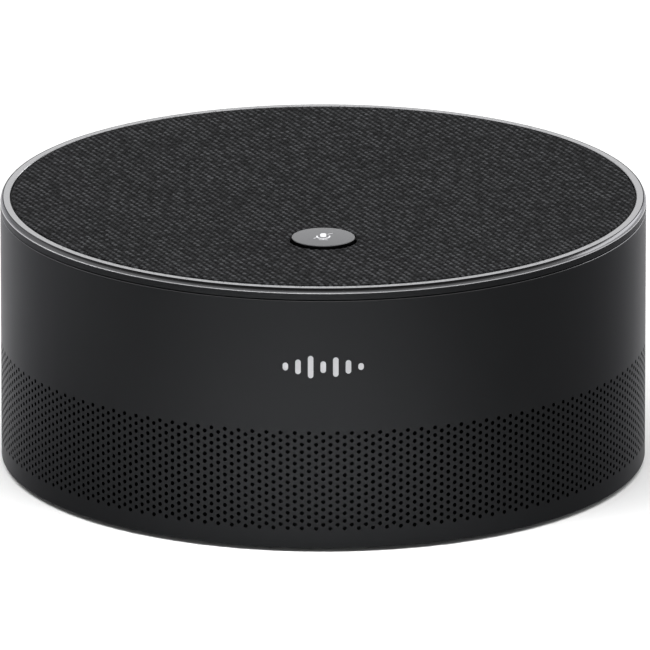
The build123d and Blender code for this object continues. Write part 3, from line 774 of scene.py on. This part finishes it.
def bevel_points():
    """The bevel's shallow arc, as (radius, height) points from its lower edge to the top face."""
    low_z = RING_TOP_Z - BEVEL_HIGH
    chord = math.hypot(BEVEL_IN, BEVEL_HIGH)
    lean = math.atan2(BEVEL_IN, BEVEL_HIGH)
    arc_r = chord / (2 * math.sin(BEVEL_TURN / 2))
    depth = arc_r * math.cos(BEVEL_TURN / 2)
    centre_r = BODY_R - BEVEL_IN / 2 - depth * math.cos(lean)
    centre_z = (low_z + RING_TOP_Z) / 2 - depth * math.sin(lean)
    angles = [lean + BEVEL_TURN * (i / BEVEL_STEPS - 0.5) for i in range(BEVEL_STEPS + 1)]
    return [(min(centre_r + arc_r * math.cos(a), BODY_R), centre_z + arc_r * math.sin(a)) for a in angles]


def trim_ring():
    """The ring that holds the cloth: satin body, darker bevel, a painted highlight line at the bevel's foot,
    a groove whose floor keeps the black body look as painted shade, and a bright top face.
    """
    lip_z = SEAM_Z + RING_GAP
    inner_r = BODY_R - BEVEL_IN
    groove_z = RING_TOP_Z - GROOVE_DEEP
    near, far, far_top = GROOVE_AT
    outline = [(BODY_R - RING_LIP, lip_z), (BODY_R, lip_z + RING_LIP)] + bevel_points() + [
        (inner_r - near, groove_z), (inner_r - far, groove_z), (inner_r - far_top, RING_TOP_Z),
        (RING_BORE_R + RING_BREAK, RING_TOP_Z), (RING_BORE_R, RING_TOP_Z - RING_BREAK),
        (RING_BORE_R, RING_LEDGE_Z), (RING_SPIGOT_R, RING_LEDGE_Z), (RING_SPIGOT_R, RING_FOOT_Z),
        (BODY_R - WALL - RING_FIT, RING_FOOT_Z), (BODY_R - WALL - RING_FIT, lip_z),
    ]
    ring = lathe("ring_trim", outline, SEGMENTS)
    paint(ring, SHELL_LOOK, RING_FACE_AND_HIGHLIGHT_LOOK, RING_BEVEL_AND_HIGHLIGHT_LOOK)
    highlight_low = RING_TOP_Z - BEVEL_HIGH
    highlight_top = highlight_low + PAINTED_HIGHLIGHT_BAND
    # painted highlight: the band at the bevel's lower edge takes the bright face metal; painted shade: the
    # groove's floor keeps the black body look, a dark line along the groove
    for face in ring.data.polygons:
        radius, z = face.center.xy.length / MM, face.center.z / MM
        if z > highlight_top and radius > inner_r:
            face.material_index = 2
        elif z > groove_z + 0.01 or highlight_low < z <= highlight_top:
            face.material_index = 1
    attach(ring, "housing")
    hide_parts("top_trim_ring")


# ---- cloth --------
CLOTH_STEP = 0.24
CLOTH_EDGE_R = 62.55         # where the flat field ends and the side turns down
WELL_R = 6.7
CLOTH_HOLE_R = WELL_R + 0.22
RELIEF = 0.16                # depth of the weave
EDGE_ROLL = (0.95, 0.14)     # width and drop of the rolled edge at the ring
WELL_ROLL = (0.9, 0.22)      # and at the button
# rows of the turned-down side: how far past the edge, and how far below the cloth's face
HEM = ((0.12, 0.16), (0.2, 0.34), (0.22, CLOTH_Z - CLOTH_BACK_Z))

FUZZ_COUNT = 5200
FUZZ_SEED = 7
FUZZ_EDGE_SHARE = 0.4        # of the fibres, in a narrow band along the edge
FUZZ_EDGE_R = (62.2, 62.75)
FUZZ_FIELD_R = 62.4
FUZZ_LENGTH = (0.25, 0.6)
FUZZ_THICK = (0.012, 0.022)
FUZZ_SINK = 0.08             # a fibre starts this far below the cloth's highest point
FUZZ_LIFT = (0.12, 0.45)     # rise for each millimetre of length
FUZZ_BEND = 1.2              # radians at most, either way, from root to tip
FUZZ_CLEAR = 0.6             # kept free of fibres round the button's well


def weave(x, y):
    """Height of a plain weave, from 0 in the pits to 1 on the crowns."""
    a = THREAD_A[0] * x + THREAD_A[1] * y
    b = THREAD_B[0] * x + THREAD_B[1] * y
    heights = []
    for mine, other, sign in ((a, b, 1), (b, a, -1)):
        number = np.round(mine)
        crown = np.sqrt(np.maximum(1 - THREAD_FALL * (mine - number) ** 2, 0))
        heights.append(sign * 0.5 * np.cos(np.pi * (number + other)) + crown)
    rib = 0.5 - 0.5 * np.cos(np.pi * (a + b))
    return np.clip(0.55 * np.maximum(*heights) / 1.5 + 0.45 * rib, 0, 1)


def cloth_disc(step):
    """The points and faces of an even triangle mesh of a disc: ring k has 6k points."""
    rings = int(round(CLOTH_EDGE_R / step))
    radii = CLOTH_EDGE_R * np.arange(rings + 1) / rings
    verts = [(0.0, 0.0)]
    starts = [0]
    for k in range(1, rings + 1):
        starts.append(len(verts))
        a = 2 * np.pi * np.arange(6 * k) / (6 * k)
        verts += list(zip(radii[k] * np.cos(a), radii[k] * np.sin(a)))
    faces = []
    for k in range(rings):
        n0, n1 = max(6 * k, 1), 6 * (k + 1)
        for side in range(6):
            for i in range(k + 1):
                outer = starts[k + 1] + side * (k + 1) + i
                outer_next = starts[k + 1] + (side * (k + 1) + i + 1) % n1
                inner = starts[k] + (side * k + i) % n0
                faces.append((inner, outer, outer_next))
                if i < k:
                    inner_next = starts[k] + (side * k + i + 1) % n0
                    faces.append((inner, outer_next, inner_next))
    return np.array(verts), np.array(faces)


def edge_loops(faces):
    """The boundary loops of a triangle mesh, as lists of points in order."""
    edges = dict.fromkeys(e for a, b, c in faces for e in ((a, b), (b, c), (c, a)))
    follow = {a: b for a, b in edges if (b, a) not in edges}
    loops = []
    while follow:
        here = next(iter(follow))
        loop = []
        while here in follow:
            loop.append(here)
            here = follow.pop(here)
        loops.append(loop)
    return loops


def roll_down(distance, wide, drop):
    """How far the cloth sinks at a distance from its edge."""
    return np.clip((wide - distance) / wide, 0, 1) ** 2 * drop


def turn_down(verts, faces, loop, centre, edge_r, way):
    """Adds the cloth's side below an edge loop; way is 1 at the outer edge and -1 at the hole."""
    previous = loop
    for row_number, (out, down) in enumerate(HEM):
        row = []
        for v in loop:
            dx, dy = verts[v][0] - centre[0], verts[v][1] - centre[1]
            scale = (edge_r + way * out) / math.hypot(dx, dy)
            top = CLOTH_Z if row_number == len(HEM) - 1 else verts[v][2]
            row.append(len(verts))
            verts.append((centre[0] + dx * scale, centre[1] + dy * scale, top - down))
        n = len(loop)
        faces += [[previous[i], row[i], row[(i + 1) % n], previous[(i + 1) % n]] for i in range(n)]
        previous = row


def top_cloth():
    """The stretched cloth: a woven relief, edges that roll down, and a round hole for the button."""
    flat, faces = cloth_disc(CLOTH_STEP)
    from_button = np.hypot(flat[:, 0] - BUTTON_X, flat[:, 1] - BUTTON_Y)
    faces = faces[(from_button[faces] > CLOTH_HOLE_R).all(axis=1)]
    hole, edge = sorted(edge_loops(faces.tolist()), key=len)
    for v in hole:
        pull = CLOTH_HOLE_R / from_button[v]
        flat[v] = (BUTTON_X + (flat[v, 0] - BUTTON_X) * pull, BUTTON_Y + (flat[v, 1] - BUTTON_Y) * pull)
    x, y = flat[:, 0], flat[:, 1]
    sink = roll_down(CLOTH_EDGE_R - np.hypot(x, y), *EDGE_ROLL)
    sink += roll_down(np.hypot(x - BUTTON_X, y - BUTTON_Y) - CLOTH_HOLE_R, *WELL_ROLL)
    height = CLOTH_Z - RELIEF + RELIEF * weave(x, y) - sink
    verts = [(*p, z) for p, z in zip(flat.tolist(), height.tolist())]
    faces = [list(f) for f in faces.tolist()]
    turn_down(verts, faces, edge, (0, 0), CLOTH_EDGE_R, 1)
    turn_down(verts, faces, hole, (BUTTON_X, BUTTON_Y), CLOTH_HOLE_R, -1)
    cloth = make_object("cloth_top", verts, faces)
    bm = bmesh.new()
    bm.from_mesh(cloth.data)
    bmesh.ops.delete(bm, geom=[v for v in bm.verts if not v.link_faces], context="VERTS")
    bm.to_mesh(cloth.data)
    bm.free()
    cloth.data.polygons.foreach_set("use_smooth", [True] * len(cloth.data.polygons))
    paint(cloth, CLOTH_LOOK)
    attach(cloth, "housing")
    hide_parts("top_cloth")
    return cloth


def add_fibre(verts, faces, line, heading, thick):
    """Adds a three-sided fibre through three points, thinner at its end."""
    first = len(verts)
    for p, width in zip(line, (thick, thick, thick * 0.5)):
        for k in range(3):
            w = 2 * math.pi * k / 3
            verts.append((
                p[0] + width * math.cos(w) * math.sin(heading),
                p[1] - width * math.cos(w) * math.cos(heading),
                p[2] + width * math.sin(w),
            ))
    for j in (0, 3):
        for k in range(3):
            m = (k + 1) % 3
            faces.append([first + j + k, first + j + m, first + j + 3 + m, first + j + 3 + k])
    faces += [[first, first + 2, first + 1], [first + 6, first + 7, first + 8]]


def cloth_fuzz():
    """Loose fibre ends that stand a little proud of the cloth."""
    rng = np.random.default_rng(FUZZ_SEED)
    verts, faces = [], []
    for i in range(FUZZ_COUNT):
        edge = i < FUZZ_COUNT * FUZZ_EDGE_SHARE
        r = rng.uniform(*FUZZ_EDGE_R) if edge else FUZZ_FIELD_R * math.sqrt(rng.uniform(0, 1))
        a = rng.uniform(0, 2 * math.pi)
        x, y = r * math.cos(a), r * math.sin(a)
        if math.hypot(x - BUTTON_X, y - BUTTON_Y) < WELL_R + FUZZ_CLEAR:
            continue
        length, thick = rng.uniform(*FUZZ_LENGTH), rng.uniform(*FUZZ_THICK)
        heading, lift = rng.uniform(0, 2 * math.pi), rng.uniform(*FUZZ_LIFT)
        bend = rng.uniform(-FUZZ_BEND, FUZZ_BEND)
        line = []
        for t in (0.0, 0.5, 1.0):
            way = heading + bend * t
            rise = length * lift * (t if t < 1 else 0.8)
            line.append((
                x + length * t * math.cos(way),
                y + length * t * math.sin(way),
                CLOTH_Z - FUZZ_SINK + rise,
            ))
        add_fibre(verts, faces, line, heading, thick)
    fuzz = make_object("cloth_fuzz", verts, faces)
    paint(fuzz, FIBRE_LOOK)
    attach(fuzz, "housing")
    return fuzz


# ---- mute button --------
CAP_R = 6.3
CAP_BORE_R = 5.3             # inside of the cap's skirt
CAP_FLANGE_R = 7.2           # keeps the cap under the top plate
CAP_POST_R = 1.2             # presses the switch
CAP_ROOF_Z = 54.2
CAP_FLANGE_Z = 52.5
CAP_POST_Z = 52.7
CAP_EDGE = 0.15
CAP_CORNER = 0.2
CAP_PAINT = 0.13             # the grey face reaches this far down the rounded edge
CAP_SEGMENTS = 160

ICON_SINK = 0.02             # the print starts this far inside the cap
CRADLE_R = 1.25
CRADLE_Z = -0.1              # height of its arc's centre on the sign
CRADLE_TOP = 0.35
STROKE_END = 7               # points in a stroke's round end


def mute_button():
    """The button's cap: grey face, skirt, flange and post."""
    outline = round_corners([
        (0, BUTTON_TOP_Z, 0), (0, CAP_POST_Z, 0), (CAP_POST_R, CAP_POST_Z, 0), (CAP_POST_R, CAP_ROOF_Z, 0),
        (CAP_BORE_R, CAP_ROOF_Z, CAP_CORNER), (CAP_BORE_R, CAP_Z0, 0), (CAP_FLANGE_R, CAP_Z0, 0),
        (CAP_FLANGE_R, CAP_FLANGE_Z, 0), (CAP_R, CAP_FLANGE_Z, 0), (CAP_R, BUTTON_TOP_Z, CAP_EDGE),
    ], 5)
    cap = lathe("button_cap", outline, CAP_SEGMENTS, (BUTTON_X, BUTTON_Y))
    paint(cap, SHELL_LOOK, BUTTON_LOOK)
    for face in cap.data.polygons:
        if face.center.z > (BUTTON_TOP_Z - CAP_PAINT) * MM:
            face.material_index = 1
    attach(cap, "mute_button")
    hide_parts("mute_button_cap")


def round_end(end, before, r):
    """The points of a half circle round a line's end, which is reached from before."""
    t = math.atan2(end[1] - before[1], end[0] - before[0])
    turns = [math.pi / 2 - math.pi * k / (STROKE_END + 1) for k in range(1, STROKE_END + 1)]
    return [(end[0] + r * math.cos(t + a), end[1] + r * math.sin(t + a)) for a in turns]


def stroke(verts, faces, points, width, z0, z1):
    """Adds a flat line of even width with round ends, as a thin raised print."""
    r = width / 2
    left, right = [], []
    for i, (x, y) in enumerate(points):
        a = points[max(i - 1, 0)]
        b = points[min(i + 1, len(points) - 1)]
        t = Vector((b[0] - a[0], b[1] - a[1])).normalized()
        left.append((x - t.y * r, y + t.x * r))
        right.append((x + t.y * r, y - t.x * r))
    outline = left + round_end(points[-1], points[-2], r) + right[::-1] + round_end(points[0], points[1], r)
    first, n, m = len(verts), len(outline), len(left)
    for z in (z0, z1):
        verts += [(BUTTON_X + x, BUTTON_Y + y, z) for x, y in outline]
    flats = [(i, i + 1, n - STROKE_END - 2 - i, n - STROKE_END - 1 - i) for i in range(m - 1)]
    flats += [range(m - 1, m + STROKE_END + 1), [0, *range(n - STROKE_END - 1, n)]]
    for flat in flats:
        for base in (first, first + n):
            faces.append([base + k for k in flat])
    for i in range(n):
        j = (i + 1) % n
        faces.append([first + i, first + j, first + n + j, first + n + i])


def icon_strokes():
    """The sign's lines and their widths, from the button's centre."""
    turns = np.linspace(math.pi, 2 * math.pi, 17)
    arc = [(CRADLE_R * math.cos(a), CRADLE_Z + CRADLE_R * math.sin(a)) for a in turns]
    return {
        "capsule": ([(0, 0.2), (0, 0.95), (0, 1.65)], 1.2),
        "cradle": ([(-CRADLE_R, CRADLE_TOP)] + arc + [(CRADLE_R, CRADLE_TOP)], 0.34),
        "stem": ([(0, -1.45), (0, -1.75), (0, -2.1)], 0.26),
        "foot": ([(-0.8, -2.2), (0, -2.2), (0.8, -2.2)], 0.2),
        "slash_low": ([(-1.9, -1.3), (-1.65, -1.05), (-1.4, -0.8)], 0.14),
        "slash_high": ([(0.95, 1.55), (1.4, 2.0), (1.85, 2.3)], 0.14),
    }


def button_icon():
    """A microphone in its cradle, with a slash across."""
    z0, z1 = BUTTON_TOP_Z - ICON_SINK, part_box("mute_button_icon")[1].z / MM
    verts, faces = [], []
    for points, width in icon_strokes().values():
        stroke(verts, faces, points, width, z0, z1)
    icon = make_object("button_icon", verts, faces, smooth=False)
    face_outwards(icon)
    paint(icon, ICON_LOOK)
    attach(icon, "mute_button")
    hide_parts("mute_button_icon")


# ---- stage --------
VIEW_DOWN = math.radians(17.07)
VIEW_DISTANCE = 3.8
VIEW_WIDTH = 0.13106         # of the scene across the picture, at the aim
AIM = Vector((0.00035, 0.0, 0.02738))

SKY_RISE = (0.35, 0.75)      # sine of the height over which the sky fades to its top level
SKY_TOP = 0.3
SKY_DEPTH = (0.6, 0.93)      # how far towards the back the bright part starts and is full
SKY_FRONT = 0.2
SKY_BACK = 1.08
LOW_RISE = (0.28, 0.55)      # the bright band all round above the horizon ends over this height
LOW_BAND = 0.75
ZENITH_RISE = (0.95, 0.99)   # a round patch straight above
ZENITH = 1.0

OVERHEAD = 3.3
OVERHEAD_SPREAD = math.radians(100)
WASH_SPREAD = math.radians(75)
FLOOR_HALF = 60000.0


def camera():
    """The photograph's view: long lens, looking a little down at the front."""
    data = bpy.data.cameras.new("camera")
    data.sensor_width = 36.0
    data.lens = data.sensor_width * VIEW_DISTANCE / VIEW_WIDTH
    data.clip_end = 100.0
    cam = bpy.data.objects.new("camera", data)
    bpy.context.scene.collection.objects.link(cam)
    back = Vector((0, -math.cos(VIEW_DOWN), math.sin(VIEW_DOWN)))
    cam.location = AIM + back * VIEW_DISTANCE
    cam.rotation_euler = (-back).to_track_quat("-Z", "Y").to_euler()
    bpy.context.scene.camera = cam


def softbox(name, at, aim, size, watts):
    """A rectangular lamp that the camera doesn't see."""
    data = bpy.data.lights.new(name, "AREA")
    data.shape, data.size, data.size_y, data.energy = "RECTANGLE", size[0], size[1], watts
    lamp = bpy.data.objects.new(name, data)
    lamp.location = at
    lamp.rotation_euler = (Vector(aim) - Vector(at)).to_track_quat("-Z", "Y").to_euler()
    lamp.visible_camera = False
    bpy.context.scene.collection.objects.link(lamp)


def floor_wash(name, at, size, watts):
    """A narrow lamp that points straight down beside the object; the wall mirrors the floor it lights."""
    softbox(name, at, (at[0], at[1], 0), size, watts)
    lamp = bpy.data.objects[name]
    lamp.data.spread = WASH_SPREAD
    lamp.visible_glossy = False


def overhead():
    """A broad soft light from above that lights the floor evenly and isn't mirrored."""
    data = bpy.data.lights.new("overhead", "SUN")
    data.energy, data.angle = OVERHEAD, OVERHEAD_SPREAD
    lamp = bpy.data.objects.new("overhead", data)
    lamp.visible_glossy = False
    bpy.context.scene.collection.objects.link(lamp)


def pale_floor():
    """A plain floor that reaches far past every view."""
    corners = [(x * FLOOR_HALF, y * FLOOR_HALF, 0) for x, y in ((-1, -1), (1, -1), (1, 1), (-1, 1))]
    floor = make_object("floor", corners, [[0, 1, 2, 3]], smooth=False)
    n = Nodes("floor_pale")
    n.set(Base_Color=n.blend(n.noise(4.0), (0.86, 0.86, 0.86, 1), (0.88, 0.88, 0.88, 1)))
    n.bsdf.inputs["Roughness"].default_value = 0.9
    n.bsdf.inputs["Specular IOR Level"].default_value = 0.1
    paint(floor, n.material)


def sky_ramp(tree, value, start, result):
    """A smooth change between two strengths as value goes from start's first number to its second."""
    ramp = tree.nodes.new("ShaderNodeMapRange")
    ramp.interpolation_type = "SMOOTHSTEP"
    for key, number in zip(("From Min", "From Max", "To Min", "To Max"), (*start, *result)):
        ramp.inputs[key].default_value = number
    tree.links.new(value, ramp.inputs["Value"])
    return ramp.outputs["Result"]


def sky_join(tree, operation, one, two):
    """Two strengths put together by one Math operation."""
    node = tree.nodes.new("ShaderNodeMath")
    node.operation = operation
    tree.links.new(one, node.inputs[0])
    tree.links.new(two, node.inputs[1])
    return node.outputs[0]


def soft_sky():
    """A white studio dome: bright behind the object, low all round and straight above, and dim elsewhere."""
    world = bpy.data.worlds.new("studio")
    world.use_nodes = True
    bpy.context.scene.world = world
    tree = world.node_tree
    coords = tree.nodes.new("ShaderNodeTexCoord")
    split = tree.nodes.new("ShaderNodeSeparateXYZ")
    tree.links.new(coords.outputs["Generated"], split.inputs[0])
    height = sky_ramp(tree, split.outputs["Z"], SKY_RISE, (1.0, SKY_TOP))
    depth = sky_ramp(tree, split.outputs["Y"], SKY_DEPTH, (SKY_FRONT, SKY_BACK))
    low = sky_ramp(tree, split.outputs["Z"], LOW_RISE, (LOW_BAND, 0.0))
    zenith = sky_ramp(tree, split.outputs["Z"], ZENITH_RISE, (0.0, ZENITH))
    sky = sky_join(tree, "MULTIPLY", height, depth)
    sky = sky_join(tree, "MAXIMUM", sky, low)
    sky = sky_join(tree, "MAXIMUM", sky, zenith)
    tree.links.new(sky, tree.nodes["Background"].inputs["Strength"])
    tree.nodes["Background"].inputs["Color"].default_value = (1, 1, 1, 1)


def studio():
    """Floor, sky and lamps; places are in metres and powers in watts."""
    pale_floor()
    soft_sky()
    overhead()
    softbox("right_box", at=(1.12, 0.8, 0.34), aim=(0, 0, 0.05), size=(1.3, 0.45), watts=5.5)
    softbox("front_low", at=(0.03, -1.2, 0.16), aim=(0, 0, 0.04), size=(0.5, 0.22), watts=0.25)
    floor_wash("front_wash", at=(-0.03, -0.26, 0.3), size=(0.2, 0.12), watts=0.5)
    floor_wash("foot_wash", at=(-0.01, -0.12, 0.12), size=(0.16, 0.04), watts=0.12)
    floor_wash("left_wash", at=(-0.25, 0.0, 0.28), size=(0.12, 0.2), watts=0.3)
    bpy.context.scene.view_settings.view_transform = "Standard"


# ---- build --------
camera()
studio()
dress_cad_nodes()
perforated_shell()
front_mark()
trim_ring()
cloth = top_cloth()
fuzz = cloth_fuzz()
mute_button()
button_icon()
